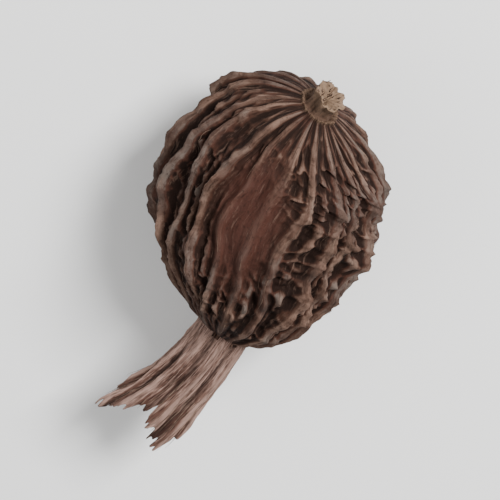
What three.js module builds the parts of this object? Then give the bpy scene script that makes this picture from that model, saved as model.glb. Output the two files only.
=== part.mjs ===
// Black cardamom pod: a dried, ribbed seed capsule lying on its side, with the withered calyx
// still on its tip and a short stub of its stalk at its base.
// Millimetres, +Z up. +X points along the pod towards the calyx. The origin is the middle of
// the small flat spot that the pod rests on, under its widest section.
import * as THREE from "three";

// Husk: the egg-shaped body
const BASE_X = -7.9; // where the stalk joins the husk
const TIP_X = 10.9; // where the calyx joins the husk
const BASE_POINT_X = -7.7; // where the egg alone would close at the stalk
const TIP_POINT_X = 10.6; // where the egg alone would close at the calyx
const HALF_WIDTH = 7.2; // radius of the widest section, without its ribs
const DEPTH_SHARE = 0.92; // height of the widest section over its width
const BASE_FULLNESS = 2.25; // exponent of the rounder end
const TIP_FULLNESS = 1.75; // exponent of the more pointed end
const BASE_NECK = 1.5; // radius of the husk at the stalk
const TIP_NECK = 1.9; // radius of the husk at the calyx
const HUSK_ROWS = 40;
const HUSK_CROWDING = 0.7; // how much closer together the rows lie towards the two ends

// Unevenness of the husk: the three seed chambers show as blunt corners, and drying left dents
const CORNERS = 3;
const CORNER_SHARE = 0.035;
const CORNER_ANGLE = 1.35;
const DENT_SHARE = 0.022;
const DENTS = [
  { waves: 2, perLength: 0.45, phase: 0.7, size: 1.0 },
  { waves: 4, perLength: -0.6, phase: 2.1, size: 1.0 },
  { waves: 5, perLength: 0.85, phase: 4.4, size: 0.7 },
];

// Ribs, from end to end over the husk
const RIBS = 20;
const RIB_HEIGHT = 1.0;
const RIB_TWIST = 0.012; // radians of turn per millimetre
const RIB_FULL_FROM = 0.8; // share of the full width from which ribs have their full height
const RIB_FADE = 0.7; // share of its height that a rib loses where it fades
const RIB_FADE_LENGTH = 5;
const RIB_SEED = 417;
const COLUMNS_PER_RIB = 6;

// Smooth face: a stretch of tight skin on the top, a little to the -Y side, with low ribs
const FACE_ANGLE = 1.76;
const FACE_SPREAD = 0.3;
const FACE_LENGTH = 5.4;
const FACE_CALM = 0.7; // share of the rib height that is missing in its middle

// How the pod lies
const AXIS_HEIGHT = 6.62; // centre of the widest section above the surface
const TIP_BEND_FROM = 5.2; // the centre line is straight up to here, then curves to the calyx
const TIP_BEND = 0.025;
const TIP_DROOP = 0.004;
const BASE_BEND_FROM = 1.5; // and from here it curves sideways and up to the stalk
const BASE_BEND = 0.0018;
const BASE_RISE = 0.0019;
const SPOT_LENGTH = 3.6; // reach of the pressed patch under the pod, along and around it
const SPOT_ANGLE = 0.42;
const SPOT_PRESS = 0.8; // share of the rib height that is pressed away there

// Calyx: the withered, collapsed tube on the tip
const JOINT_GAP = 0.3; // clearance between neighbouring pieces
const CALYX_LENGTH = 9.0;
const CALYX_WALL = 0.6;
const CALYX_ROOT = 2.0; // radius where it leaves the husk
const CALYX_HALF_WIDTH = 2.4; // half axes of its flattened mouth
const CALYX_HALF_DEPTH = 1.35;
const CALYX_CURL = 0.4; // how far the torn edge turns outwards
const CALYX_CURL_FROM = 0.7; // share of the way to the edge where it begins to turn
const CALYX_FLAT_FROM = 0.1; // shares of the length between which the round root collapses
const CALYX_FLAT_AT = 0.8;
const CALYX_FLOOR = 0.3; // share of the length that is solid before the tube opens
const CALYX_FLOOR_DIP = 0.8; // the floor's middle, as a share of that height
const CALYX_LOBES = 3;
const CALYX_LOBE_ANGLE = 0.6;
const CALYX_LOBE_POINT = 0.6; // exponent of the lobes: smaller is blunter
const CALYX_NOTCH = 0.34; // depth of the notches between the lobes, as a share of the length
const CALYX_SLANT = 0.1; // how much longer one side is, as a share of the length
const CALYX_SLANT_ANGLE = 2.4;
const CALYX_TEAR = 0.12; // depth of the tears in its edge, as a share of the length
const CALYX_PLEATS = 9;
const CALYX_PLEAT_DEPTH = 0.2;
const CALYX_PLEAT_ROOT = 0.4; // share of that depth that the pleats have at the root
const CALYX_PLEAT_DRIFT = 1.2; // radians by which the pleats crowd to the sides
const CALYX_COLUMNS = 54;
const CALYX_ROWS = 11;
const CALYX_INNER_ROWS = 7;
const CALYX_SEED = 92;

// Stalk: the short woody stub on the base
const STALK_LENGTH = 0.9;
const STALK_RADIUS = 1.2;
const STALK_WAIST = 0.16; // narrowing of its middle, as a share of the radius
const STALK_GROOVES = 7;
const STALK_GROOVE_DEPTH = 0.09; // share of the radius
const STALK_TWIST = 2.0; // radians by which the grooves turn over its length
const STALK_SPLINTER = 0.4; // unevenness of the broken end
const STALK_HOLLOW = 0.4; // depth of the dry pith in the broken end
const STALK_COLUMNS = 28;
const STALK_ROWS = 7;
const STALK_SEED = 55;

const TAU = 2 * Math.PI;
const { lerp, smoothstep } = THREE.MathUtils;

// A seeded generator of even random numbers from 0 to 1.
function seeded(seed) {
  let state = seed >>> 0;
  return () => {
    state = (state + 0x6d2b79f5) >>> 0;
    let t = Math.imul(state ^ (state >>> 15), 1 | state);
    t = (t + Math.imul(t ^ (t >>> 7), 61 | t)) ^ t;
    return ((t ^ (t >>> 14)) >>> 0) / 4294967296;
  };
}

// The pod's centre line: straight through the body, bent sideways towards the calyx and
// sideways and up towards the stalk. Gives the centre of a section and its two directions.
function sectionAt(x) {
  const toTip = Math.max(0, x - TIP_BEND_FROM);
  const toBase = Math.max(0, BASE_BEND_FROM - x);
  const centre = new THREE.Vector3(
    x,
    BASE_BEND * toBase ** 3 - TIP_BEND * toTip ** 2,
    AXIS_HEIGHT + BASE_RISE * toBase ** 3 - TIP_DROOP * toTip ** 2,
  );
  const along = new THREE.Vector3(
    1,
    -3 * BASE_BEND * toBase ** 2 - 2 * TIP_BEND * toTip,
    -3 * BASE_RISE * toBase ** 2 - 2 * TIP_DROOP * toTip,
  ).normalize();
  const across = new THREE.Vector3(0, 0, 1).cross(along).normalize();
  const up = along.clone().cross(across);
  return { centre, across, up };
}

// The point of a section at an angle round it, at the two given half axes.
function onSection(section, angle, halfAcross, halfUp) {
  return section.centre
    .clone()
    .addScaledVector(section.across, halfAcross * Math.cos(angle))
    .addScaledVector(section.up, halfUp * Math.sin(angle));
}

// Half the egg's width at a station: a superellipse with its own exponent on each side.
function eggRadius(x) {
  const reach = x < 0 ? -BASE_POINT_X : TIP_POINT_X;
  const fullness = x < 0 ? BASE_FULLNESS : TIP_FULLNESS;
  const share = Math.min(1, Math.abs(x) / reach);
  return HALF_WIDTH * Math.sqrt(1 - share ** fullness);
}

// The egg and the neck at each end as one smooth outline.
function huskRadius(x) {
  const neck = lerp(BASE_NECK, TIP_NECK, (x - BASE_X) / (TIP_X - BASE_X));
  return Math.hypot(eggRadius(x), neck);
}

// Every rib has its own place, size, sway and swell, and fades from its own station outwards
// on one side. Where that station lies past the husk's end, the rib runs right through.
function drawRibs() {
  const random = seeded(RIB_SEED);
  const between = (low, high) => lerp(low, high, random());
  return Array.from({ length: RIBS }, () => ({
    offset: between(-0.2, 0.2),
    size: between(0.6, 1.1),
    sharpness: between(1.3, 2.3),
    sway: between(0.06, 0.2),
    swayLength: between(8, 15),
    swayPhase: between(0, TAU),
    swell: between(0.1, 0.3),
    swellLength: between(4, 9),
    swellPhase: between(0, TAU),
    tooth: between(0.05, 0.18),
    toothLength: between(1.9, 3.1),
    toothPhase: between(0, TAU),
    fadeSide: Math.sign(between(-1, 1)),
    fadeFrom: between(2, 18),
  }));
}
const ribs = drawRibs();

function ribAngle(k, x) {
  const rib = ribs[k % RIBS];
  const sway = rib.sway * Math.sin((TAU * x) / rib.swayLength + rib.swayPhase);
  return (TAU * (k + rib.offset + sway)) / RIBS + RIB_TWIST * x;
}

// Ribs grow smoothly from nothing at the centre line to their full height.
function ribTaper(x) {
  return smoothstep(huskRadius(x), 0, RIB_FULL_FROM * HALF_WIDTH);
}

function ribHeight(k, x) {
  const rib = ribs[k % RIBS];
  const swell = rib.swell * Math.sin((TAU * x) / rib.swellLength + rib.swellPhase);
  const tooth = rib.tooth * Math.sin((TAU * x) / rib.toothLength + rib.toothPhase);
  const faded = smoothstep(x * rib.fadeSide, rib.fadeFrom, rib.fadeFrom + RIB_FADE_LENGTH);
  return RIB_HEIGHT * rib.size * (1 + swell + tooth) * ribTaper(x) * (1 - RIB_FADE * faded);
}

// The height of the relief at a place between two ribs: 0 on one crest, 1 on the next.
function relief(k, place, x) {
  const nearest = place < 0.5 ? k : k + 1;
  const wave = 0.5 + 0.5 * Math.cos(TAU * place);
  return ribHeight(nearest, x) * wave ** ribs[nearest % RIBS].sharpness;
}

// The husk's radius over that of the plain egg, from its blunt corners and its dents.
function unevenness(x, angle) {
  const fullness = eggRadius(x) / HALF_WIDTH;
  const corners = CORNER_SHARE * Math.cos(CORNERS * (angle - CORNER_ANGLE));
  const dents = DENTS.reduce(
    (sum, dent) => sum + dent.size * Math.sin(dent.waves * angle + dent.perLength * x + dent.phase),
    0,
  );
  return 1 + fullness * (corners + DENT_SHARE * dents);
}

// A soft-edged patch of the husk: 1 in its middle at x = 0, falling to 0 around it.
function patch(x, angle, middle, length, spread) {
  const turned = Math.atan2(Math.sin(angle - middle), Math.cos(angle - middle));
  return Math.exp(-((x / length) ** 2) - (turned / spread) ** 2);
}

function huskPoint(x, k, place) {
  const angle = lerp(ribAngle(k, x), ribAngle(k + 1, x), place);
  const spot = patch(x, angle, -TAU / 4, SPOT_LENGTH, SPOT_ANGLE);
  const face = patch(x, angle, FACE_ANGLE, FACE_LENGTH, FACE_SPREAD);
  const ribShare = (1 - SPOT_PRESS * spot) * (1 - FACE_CALM * face);
  const radius = huskRadius(x) * lerp(unevenness(x, angle), 1, spot) + relief(k, place, x) * ribShare;
  const depth = lerp(1, DEPTH_SHARE, eggRadius(x) / HALF_WIDTH);
  const point = onSection(sectionAt(x), angle, radius, radius * depth);
  point.z = Math.max(0, point.z);
  return point;
}

// Joins rings of points into one closed surface, with a fan to a pole at each end. The rings
// run towards +X where they face away from the centre line.
function closedSkin(rings, startPole, endPole) {
  const columns = rings[0].length;
  const points = [startPole, ...rings.flat(), endPole];
  const at = (row, column) => 1 + row * columns + (column % columns);
  const faces = [];
  const last = rings.length - 1;
  for (let j = 0; j < columns; j += 1) {
    faces.push(0, at(0, j + 1), at(0, j));
    faces.push(points.length - 1, at(last, j), at(last, j + 1));
    for (let i = 0; i < last; i += 1) {
      faces.push(at(i, j), at(i, j + 1), at(i + 1, j));
      faces.push(at(i, j + 1), at(i + 1, j + 1), at(i + 1, j));
    }
  }
  const geometry = new THREE.BufferGeometry().setFromPoints(points);
  geometry.setIndex(faces);
  geometry.computeVertexNormals();
  return geometry;
}

const ringAt = (columns, pointAt) => Array.from({ length: columns }, (_, j) => pointAt(j));
const rowsOf = (rows, ringOf) => Array.from({ length: rows }, (_, i) => ringOf(i / (rows - 1)));

function makeHusk() {
  const rings = rowsOf(HUSK_ROWS, (share) => {
    const crowded = 0.5 - 0.5 * Math.cos(Math.PI * share);
    const x = lerp(BASE_X, TIP_X, lerp(share, crowded, HUSK_CROWDING));
    return ringAt(RIBS * COLUMNS_PER_RIB, (j) =>
      huskPoint(x, Math.floor(j / COLUMNS_PER_RIB), (j % COLUMNS_PER_RIB) / COLUMNS_PER_RIB),
    );
  });
  return closedSkin(rings, sectionAt(BASE_X).centre, sectionAt(TIP_X).centre);
}

// How far the calyx reaches at an angle: three lobes with notches between them and torn edges.
function calyxReach(angle, tear) {
  const lobe = Math.abs(Math.cos((CALYX_LOBES / 2) * (angle - CALYX_LOBE_ANGLE)));
  const slant = 1 + CALYX_SLANT * Math.cos(angle - CALYX_SLANT_ANGLE);
  const notch = 1 - CALYX_NOTCH * (1 - lobe ** CALYX_LOBE_POINT);
  return CALYX_LENGTH * slant * notch * (1 - CALYX_TEAR * tear);
}

// A point on the calyx at a share of its reach, sunk below its outer face. The tube is round
// where it leaves the husk, collapses flat along its length and curls out at its edge.
function calyxPoint(share, angle, reach, sunk) {
  const x = TIP_X + JOINT_GAP + share * reach;
  const along = share * (reach / CALYX_LENGTH);
  const pleatAngle = CALYX_PLEATS * angle + CALYX_PLEAT_DRIFT * Math.sin(2 * angle);
  const pleat = CALYX_PLEAT_DEPTH * Math.cos(pleatAngle) * Math.min(1, CALYX_PLEAT_ROOT + along);
  const curl = CALYX_CURL * smoothstep(share, CALYX_CURL_FROM, 1);
  const halfAcross = lerp(CALYX_ROOT, CALYX_HALF_WIDTH, smoothstep(along, 0, 1));
  const flattened = smoothstep(along, CALYX_FLAT_FROM, CALYX_FLAT_AT);
  const halfUp = lerp(CALYX_ROOT, CALYX_HALF_DEPTH, flattened);
  const rise = pleat + curl - sunk;
  return onSection(sectionAt(x), angle, halfAcross + rise, halfUp + rise);
}

function makeCalyx() {
  const random = seeded(CALYX_SEED);
  const tears = ringAt(CALYX_COLUMNS, () => random());
  const ring = (share, sunk) =>
    ringAt(CALYX_COLUMNS, (j) => {
      const angle = (TAU * j) / CALYX_COLUMNS;
      return calyxPoint(share, angle, calyxReach(angle, tears[j]), sunk);
    });
  const outside = rowsOf(CALYX_ROWS, (share) => ring(share, 0));
  const inside = rowsOf(CALYX_INNER_ROWS, (share) => ring(lerp(1, CALYX_FLOOR, share), CALYX_WALL));
  const rootX = TIP_X + JOINT_GAP;
  const floorX = rootX + CALYX_FLOOR * CALYX_FLOOR_DIP * CALYX_LENGTH;
  return closedSkin([...outside, ...inside], sectionAt(rootX).centre, sectionAt(floorX).centre);
}

// The stalk's stub, waisted in the middle, grooved along its length and broken off unevenly.
function makeStalk() {
  const random = seeded(STALK_SEED);
  const splinters = ringAt(STALK_COLUMNS, () => random());
  const rootX = BASE_X - JOINT_GAP;
  const rings = rowsOf(STALK_ROWS, (share) =>
    ringAt(STALK_COLUMNS, (j) => {
      const angle = (TAU * j) / STALK_COLUMNS;
      const outer = 1 - share;
      const waist = 1 - STALK_WAIST * Math.sin(Math.PI * share);
      const groove = 1 + STALK_GROOVE_DEPTH * Math.cos(STALK_GROOVES * angle + STALK_TWIST * share);
      const radius = STALK_RADIUS * waist * groove;
      const reach = STALK_LENGTH - STALK_SPLINTER * splinters[j] * outer;
      return onSection(sectionAt(rootX - outer * reach), angle, radius, radius);
    }),
  );
  const pithX = rootX - STALK_LENGTH + STALK_HOLLOW;
  return closedSkin(rings, sectionAt(pithX).centre, sectionAt(rootX).centre);
}

function piece(name, geometry, color, roughness) {
  const material = new THREE.MeshStandardMaterial({ color, roughness, metalness: 0 });
  const mesh = new THREE.Mesh(geometry, material);
  mesh.name = name;
  return mesh;
}

const pod = new THREE.Group();
pod.add(piece("husk", makeHusk(), "#5b4034", 0.85));
pod.add(piece("calyx", makeCalyx(), "#8c6f5a", 0.9));
pod.add(piece("stalk", makeStalk(), "#6b4f3d", 0.9));

export default pod;
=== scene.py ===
# Black cardamom pod: the dried ribbed husk, its withered calyx and the stub of its stalk, with
# the fine relief, fibres and colours of the real skin. Lengths are millimetres, as the pod is
# measured, and each mesh is made in metres.
import math

import bpy
import numpy as np
from mathutils import Matrix, Vector


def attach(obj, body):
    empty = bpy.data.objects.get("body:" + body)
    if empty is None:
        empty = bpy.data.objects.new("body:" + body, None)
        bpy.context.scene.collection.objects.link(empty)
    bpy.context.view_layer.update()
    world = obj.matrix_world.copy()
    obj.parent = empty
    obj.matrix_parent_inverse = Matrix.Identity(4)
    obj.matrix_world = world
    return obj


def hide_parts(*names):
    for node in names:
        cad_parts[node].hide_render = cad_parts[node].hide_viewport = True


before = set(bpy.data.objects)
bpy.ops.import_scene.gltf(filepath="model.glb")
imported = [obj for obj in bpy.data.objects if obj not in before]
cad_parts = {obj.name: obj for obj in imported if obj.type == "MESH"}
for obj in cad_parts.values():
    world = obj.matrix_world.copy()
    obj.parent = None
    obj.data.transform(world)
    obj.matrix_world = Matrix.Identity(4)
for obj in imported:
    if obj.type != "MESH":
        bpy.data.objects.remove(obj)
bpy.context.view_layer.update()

MM = 0.001
TAU = 2 * math.pi

# Husk, with the same forms as its solid
BASE_X = -7.9
TIP_X = 10.9
BASE_POINT_X = -7.7
TIP_POINT_X = 10.6
HALF_WIDTH = 7.2
DEPTH_SHARE = 0.92
BASE_FULLNESS = 2.25
TIP_FULLNESS = 1.75
BASE_NECK = 1.5
TIP_NECK = 1.9
CORNERS = 3
CORNER_SHARE = 0.035
CORNER_ANGLE = 1.35
DENT_SHARE = 0.022
# Waves of drying round the husk: count, radians per millimetre along it, phase and size
DENTS = [(2, 0.45, 0.7, 1.0), (4, -0.6, 2.1, 1.0), (5, 0.85, 4.4, 0.7)]

# Ribs
RIBS = 20
RIB_HEIGHT = 1.0
RIB_TWIST = 0.012
RIB_FULL_FROM = 0.8
RIB_FADE = 0.7
RIB_FADE_LENGTH = 5
RIB_SEED = 417
RIB_RANGES = {
    "offset": (-0.2, 0.2),
    "size": (0.6, 1.1),
    "sharpness": (1.3, 2.3),
    "sway": (0.06, 0.2),
    "sway_length": (8, 15),
    "sway_phase": (0, TAU),
    "swell": (0.1, 0.3),
    "swell_length": (4, 9),
    "swell_phase": (0, TAU),
    "tooth": (0.05, 0.18),
    "tooth_length": (1.9, 3.1),
    "tooth_phase": (0, TAU),
    "fade_side": (-1, 1),
    "fade_from": (2, 18),
}

# Smooth face on the top, where the ribs are low, and pressed spot underneath
FACE_ANGLE = 1.76
FACE_SPREAD = 0.3
FACE_LENGTH = 5.4
FACE_CALM = 0.7
SPOT_LENGTH = 3.6
SPOT_ANGLE = 0.42
SPOT_PRESS = 0.8

# How the pod lies, and the gap that its solids keep between them
AXIS_HEIGHT = 6.62
TIP_BEND_FROM = 5.2
TIP_BEND = 0.025
TIP_DROOP = 0.004
BASE_BEND_FROM = 1.5
BASE_BEND = 0.0018
BASE_RISE = 0.0019
NECK_GAP = 0.3  # closed here by roots that reach into the husk's necks

# Mesh of the husk
HUSK_COLUMNS = 460
HUSK_ROWS = 210
HUSK_CROWDING = 0.55  # how much closer its rows lie towards the two ends
LIP_ROWS = 5  # rows of the skin that turns in round the stalk
LIP_ROLL = 0.7  # how far it turns in
LIP_CLOSING = 0.45  # share of the way to the centre line that it closes over
SCAR_LENGTH = 0.4  # how far the pale scar round the stalk reaches

# Fine relief of the husk, as heights in millimetres
SINK = 0.28  # how far the skin lies below the solid, to make room for the relief
WOBBLE = 0.03  # radians by which the ribs waver over short lengths
BLADE = 0.2  # thin edge along each rib
BLADE_WIDTH = 0.1  # in rib spacings
BLADE_MEAN = 0.75  # share of that height that it has on average
BLADE_RANGE = (0.1, 1.25)  # and at least and at most
RIBLET = 0.46  # second ridges in the valleys
RIBLET_WIDTH = 0.12
RIBLET_GROWTH = 4.5  # length from the base over which they grow to that height
RIBLET_START = 0.2  # share of it that they have at the base
RIBLET_STRAY = 0.22  # rib spacings to either side of the middle
RIBLET_PRESENT = (-0.75, 0.1)  # noise at which they are gone and full
RIBLET_MEAN = 0.85  # share of their height on average
RIBLET_UNEVEN = 0.9  # how far noise changes that
RIBLET_RANGE = (0.2, 1.5)  # and the least and the most it can be
NET = 0.62  # bumpy net of shrinkage folds, strongest on the +Y side
NET_ANGLE = 0.6  # middle of the netted side
NET_SPREAD = 0.85
NET_FOLDS = 0.7  # share of the net that is folds
NET_FOLD_WIDTH = 0.2
NET_KNOTS = 0.8  # and knots
NET_ELSEWHERE = (0.3, 0.8)  # share of its height off that side, between and in patches
NET_CREST_CALM = 0.4  # share that it loses on the crests
FOLD = 0.2  # oblique folds down the flanks of the ribs
FOLD_WIDTH = 0.16
CRINKLE = 0.13  # fine wrinkles all over
CRINKLE_MEAN = 0.4
GRAIN = 0.05  # lengthwise fibre lines
FACE_RIPPLE = 0.07  # low ripples left on the smooth face
FACE_LINES = 0.4  # share of the fibre lines' height left on it
RIM_FADE = 1.0  # length over which the ribs sink into the rim at each end
RIM_SHARE = 0.4  # share of their height that they lose there
END_CONTRAST = 0.15  # share of the relief's height that counts as full where the ribs run out
SMOOTH_LENGTH = 5.2  # reach of the smooth face in the fine relief and the colour
SMOOTH_SPREAD = 0.38
SMOOTH_RIM = (0.1, 0.75)  # nearness to its middle between which the relief goes
SPOT_CALM = 0.85  # share of the fine relief that is pressed away at the spot
EDGE_WINDOW = (3, 5)  # rows and columns round a point whose mean it is an edge above
HOLLOW_WINDOW = (9, 13)  # and whose mean it is a hollow below

# Slants of its noises, in turns round the husk per millimetre along it
NET_SLANT = 0.012
KNOT_SLANT = 0.01
FOLD_SLANT = 0.02

# Its noises: cells round the husk, pitch along it, seed and layers
WOBBLE_NOISE = (2 * RIBS, 1.8, 25, 2)
BLADE_NOISE = (RIBS, 1.5, 41, 2)
RIBLET_WANDER = (RIBS, 3.6, 51, 2)
RIBLET_PRESENCE = (RIBS, 4.5, 52, 1)
RIBLET_NOISE = (RIBS, 1.2, 53, 2)
NET_PATCHES = (9, 3.6, 31, 1)
NET_NOISE = (34, 1.25, 61, 2)
KNOT_NOISE = (40, 0.9, 65, 2)
FOLD_NOISE = (36, 2.2, 71, 2)
CRINKLE_NOISE = (84, 0.8, 75, 2)
GRAIN_NOISE = (200, 3.4, 81, 2)
RIPPLE_NOISE = (46, 3.2, 91, 2)

# Calyx, with the same forms as its solid
CALYX_LENGTH = 9.0
CALYX_ROOT = 2.0
CALYX_HALF_WIDTH = 2.4
CALYX_HALF_DEPTH = 1.35
CALYX_CURL = 0.4
CALYX_FLOOR = 0.3
CALYX_FLOOR_MIDDLE = 0.24  # a little deeper than its rim
CALYX_LOBES = 3
CALYX_LOBE_ANGLE = 0.6
CALYX_LOBE_POINT = 0.6
CALYX_NOTCH = 0.34
CALYX_SLANT = 0.1
CALYX_SLANT_ANGLE = 2.4
CALYX_PLEATS = 9
CALYX_PLEAT_DEPTH = 0.2
CALYX_PLEAT_DRIFT = 1.2
CALYX_TUCK = 0.9  # how far the root reaches into the husk's neck
CALYX_SLIM = 0.1  # how much slimmer than the solid's its root is, to fit inside the neck
CALYX_PLEAT_START = 0.4  # share of the pleats' depth that the root has
CALYX_FLATTENING = (0.1, 0.8)  # shares of the length between which the tube flattens
CALYX_CURL_FROM = 0.7  # share of the length from which the edge curls out
CALYX_TEAR = 0.2  # depth of the tears, as a share of the length
CALYX_TEARS = [(26, 0.5), (60, 0.35), (130, 0.3)]  # cells round the edge and part of the depth
CALYX_TEAR_SEED = 201
CALYX_TEAR_CONTRAST = 0.6
CALYX_FURTHEST = 1.2  # furthest that the forms below go on past the length
CALYX_NERVE = 0.16  # height of the lengthwise nerves
CALYX_NERVE_MEAN = 0.3
CALYX_CRINKLE = 0.07
CALYX_FLUTTER = 0.22
CALYX_NERVE_NOISE = (30, 5.0, 211, 2)
CALYX_CRINKLE_NOISE = (70, 0.7, 221, 2)
CALYX_FLUTTER_NOISE = (11, 2.4, 231, 2)
CALYX_WALL_ROOT = 0.5
CALYX_WALL_EDGE = 0.1
CALYX_COLUMNS = 360
CALYX_ROWS = 90
CALYX_CROWDING = 0.85  # below 1 draws the outside rows towards the edge
CALYX_INNER_ROWS = 50

# Stalk, with the same forms as its solid
STALK_LENGTH = 0.9
STALK_RADIUS = 1.2
STALK_WAIST = 0.16
STALK_GROOVES = 7
STALK_GROOVE_DEPTH = 0.09
STALK_TWIST = 2.0
STALK_SPLINTER = 0.4
STALK_TUCK = 0.8
STALK_BUMPS = 0.06  # height of the bark's bumps
STALK_FURROW = 0.05  # depth of its furrows
STALK_FLARE = 0.35  # widening towards the root
STALK_FLARE_FROM = 0.72
STALK_COLUMNS = 180
STALK_ROWS = 50
STALK_END_ROWS = 16
STALK_PITH = 0.5  # how far the broken face sinks towards its middle
STALK_PITH_RADIUS = 0.07  # share of the radius at which that face ends
STALK_PITH_BUMPS = 0.12
STALK_PALE_RIM = 0.12  # how far round the edge the broken face's pale tone reaches
STALK_PALE_FADE = 0.2
STALK_GROOVE_TONE = 0.2  # how much the grooves darken the bark
STALK_NOISE_LENGTH = 4.0  # how far the bark's noises run from end to root
STALK_FACE_LENGTH = 3.0  # and the broken face's from its rim to the pith
STALK_BUMP_NOISE = (40, 2.2, 301, 2)
STALK_FURROW_NOISE = (16, 1.6, 311, 2)
STALK_SPLINTER_NOISE = (24, 1, 321, 2)
STALK_PITH_NOISE = (20, 0.8, 331, 2)

# Loose fibres, with the ranges or spreads of their draws
FIBRE_RINGS = 12
FIBRE_SIDES = 5
FIBRE_TAPER = 1.6  # higher keeps a fibre thick for longer
FIBRE_TIP = 0.02
FIBRE_ASIDE = (0.31, 0.22, 0.92)  # any direction that no fibre follows
HUSK_FIBRES = 60
HUSK_FIBRE_SEED = 701
HUSK_FIBRE_STARTS = (BASE_X + 0.8, TIP_X - 2.0)
HUSK_FIBRE_REACH = (BASE_X + 0.1, TIP_X - 0.1)  # no fibre goes beyond these
HUSK_FIBRE_OFF_CREST = 0.1  # rib spacings to either side at its start
HUSK_FIBRE_CLEARANCE = 0.01  # height of its start above the skin
HUSK_FIBRE_LENGTH = (1.0, 3.6)
HUSK_FIBRE_DRIFT = 0.12  # rib spacings to either side along its length
HUSK_FIBRE_LIFT = (0.0, 0.16)
HUSK_FIBRE_RADIUS = (0.01, 0.018)
HUSK_FIBRE_LOWEST = 1.2  # height above the surface that the pod rests on
CALYX_FIBRES = 60
CALYX_FIBRE_SEED = 702
CALYX_FIBRE_START = (0.45, 0.9)  # shares of the calyx's reach
CALYX_FIBRE_END = (0.92, 1.06)
CALYX_FIBRE_SHORTEST = 0.15
CALYX_FIBRE_DRIFT = 0.09  # radians
CALYX_FIBRE_SUNK = 0.03  # how deep they begin in the wall
CALYX_FIBRE_LIFT = (0.0, 0.3)
CALYX_FIBRE_RADIUS = (0.018, 0.04)
STALK_FIBRES = 26
STALK_FIBRE_SEED = 703
STALK_FIBRE_INWARDS = (0.05, 0.7)  # shares of the way to the pith
STALK_FIBRE_LENGTH = (0.25, 0.7)
STALK_FIBRE_ROOT = 0.35  # share of the length inside the wood
STALK_FIBRE_DRIFT = 0.15  # radians
STALK_FIBRE_RADIUS = (0.03, 0.06)


# Numbers and noise

NOISE_START = 40.0  # the lattices begin this far before x = 0, so that every piece shares them


def share_between(value, low, high):
    """0 below low, 1 above high, and in between the cubic 3 t squared minus 2 t cubed."""
    t = np.clip((value - low) / (high - low), 0, 1)
    return t * t * (3 - 2 * t)


def mix(a, b, share):
    """a where share is 0, b where it is 1, in proportion between."""
    return a + (b - a) * share


def drawn(seed, count):
    """The solid's seeded numbers from 0 to 1: a 32-bit counter, mixed by products and shifts."""
    mask = np.uint64(0xFFFFFFFF)
    one, seven, fourteen, fifteen = (np.uint64(n) for n in (1, 7, 14, 15))
    steps = np.arange(1, count + 1, dtype=np.uint64)
    state = (np.uint64(seed) + np.uint64(0x6D2B79F5) * steps) & mask
    mixed = ((state ^ (state >> fifteen)) * (state | one)) & mask
    again = ((mixed ^ (mixed >> seven)) * (mixed | np.uint64(61))) & mask
    mixed = ((mixed + again) & mask) ^ mixed
    return (mixed ^ (mixed >> fourteen)) / 2**32


def lattice(around, along, cells, pitch, seed):
    """Smooth noise from -1 to 1 that closes round the piece: random heights on a lattice of
    `cells` per turn of around, which runs from 0 to 1, and one per `pitch` of along, blended
    between their four neighbours with a quintic step."""
    rng = np.random.default_rng(seed)
    u = np.mod(around, 1.0) * cells
    v = (along + NOISE_START) / pitch
    rows = int(v.max()) + 2
    heights = rng.uniform(-1, 1, (rows + 1, cells))
    i, j = np.floor(v).astype(int), np.floor(u).astype(int) % cells
    s, t = v - np.floor(v), u - np.floor(u)
    s = s**3 * (10 - 15 * s + 6 * s * s)
    t = t**3 * (10 - 15 * t + 6 * t * t)
    k = (j + 1) % cells
    low = mix(heights[i, j], heights[i, k], t)
    high = mix(heights[i + 1, j], heights[i + 1, k], t)
    return mix(low, high, s)


def layered(around, along, cells, pitch, seed, layers):
    """Lattice noise summed over layers, each with twice the detail and half the height."""
    total = sum(
        lattice(around, along, cells * 2**n, pitch / 2**n, seed + n) / 2**n for n in range(layers)
    )
    return total / (2 - 2 ** (1 - layers))


def folds(noise, width=0.3):
    """Ridges where noise crosses 0: 1 on the crossing, and 1/e at the width from it."""
    return np.exp(-np.abs(noise / width) ** 1.5)


def bump(distance, width):
    """A bell curve of the distance: 1 at 0, and 1/e at the width."""
    return np.exp(-((distance / width) ** 2))


# The pod's centre line and its egg

def section_at(x):
    """Centre line at the stations x, with the two directions of each section: straight through
    the body, offset by the square of the distance past the tip's bend and the cube of that past
    the base's."""
    to_tip = np.maximum(0, x - TIP_BEND_FROM)
    to_base = np.maximum(0, BASE_BEND_FROM - x)
    side = BASE_BEND * to_base**3 - TIP_BEND * to_tip**2
    height = AXIS_HEIGHT + BASE_RISE * to_base**3 - TIP_DROOP * to_tip**2
    side_slope = -3 * BASE_BEND * to_base**2 - 2 * TIP_BEND * to_tip
    height_slope = -3 * BASE_RISE * to_base**2 - 2 * TIP_DROOP * to_tip
    centre = np.stack([x, side, height], axis=-1)
    along = np.stack([np.ones_like(x), side_slope, height_slope], axis=-1)
    along /= np.linalg.norm(along, axis=-1, keepdims=True)
    across = np.cross([0.0, 0.0, 1.0], along)
    across /= np.linalg.norm(across, axis=-1, keepdims=True)
    return centre, across, np.cross(along, across)


def on_section(x, angle, half_across, half_up):
    """Points of the sections at x: the centre, plus cosine and sine of the angle times the two
    half axes along the section's own directions."""
    centre, across, up = section_at(x)
    sideways = (half_across * np.cos(angle))[..., None] * across
    upwards = (half_up * np.sin(angle))[..., None] * up
    return centre + sideways + upwards


def egg_radius(x):
    """Half width of the egg: a superellipse with its own exponent on each side of x = 0."""
    reach = np.where(x < 0, -BASE_POINT_X, TIP_POINT_X)
    fullness = np.where(x < 0, BASE_FULLNESS, TIP_FULLNESS)
    share = np.minimum(1, np.abs(x) / reach)
    return HALF_WIDTH * np.sqrt(1 - share**fullness)


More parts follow.
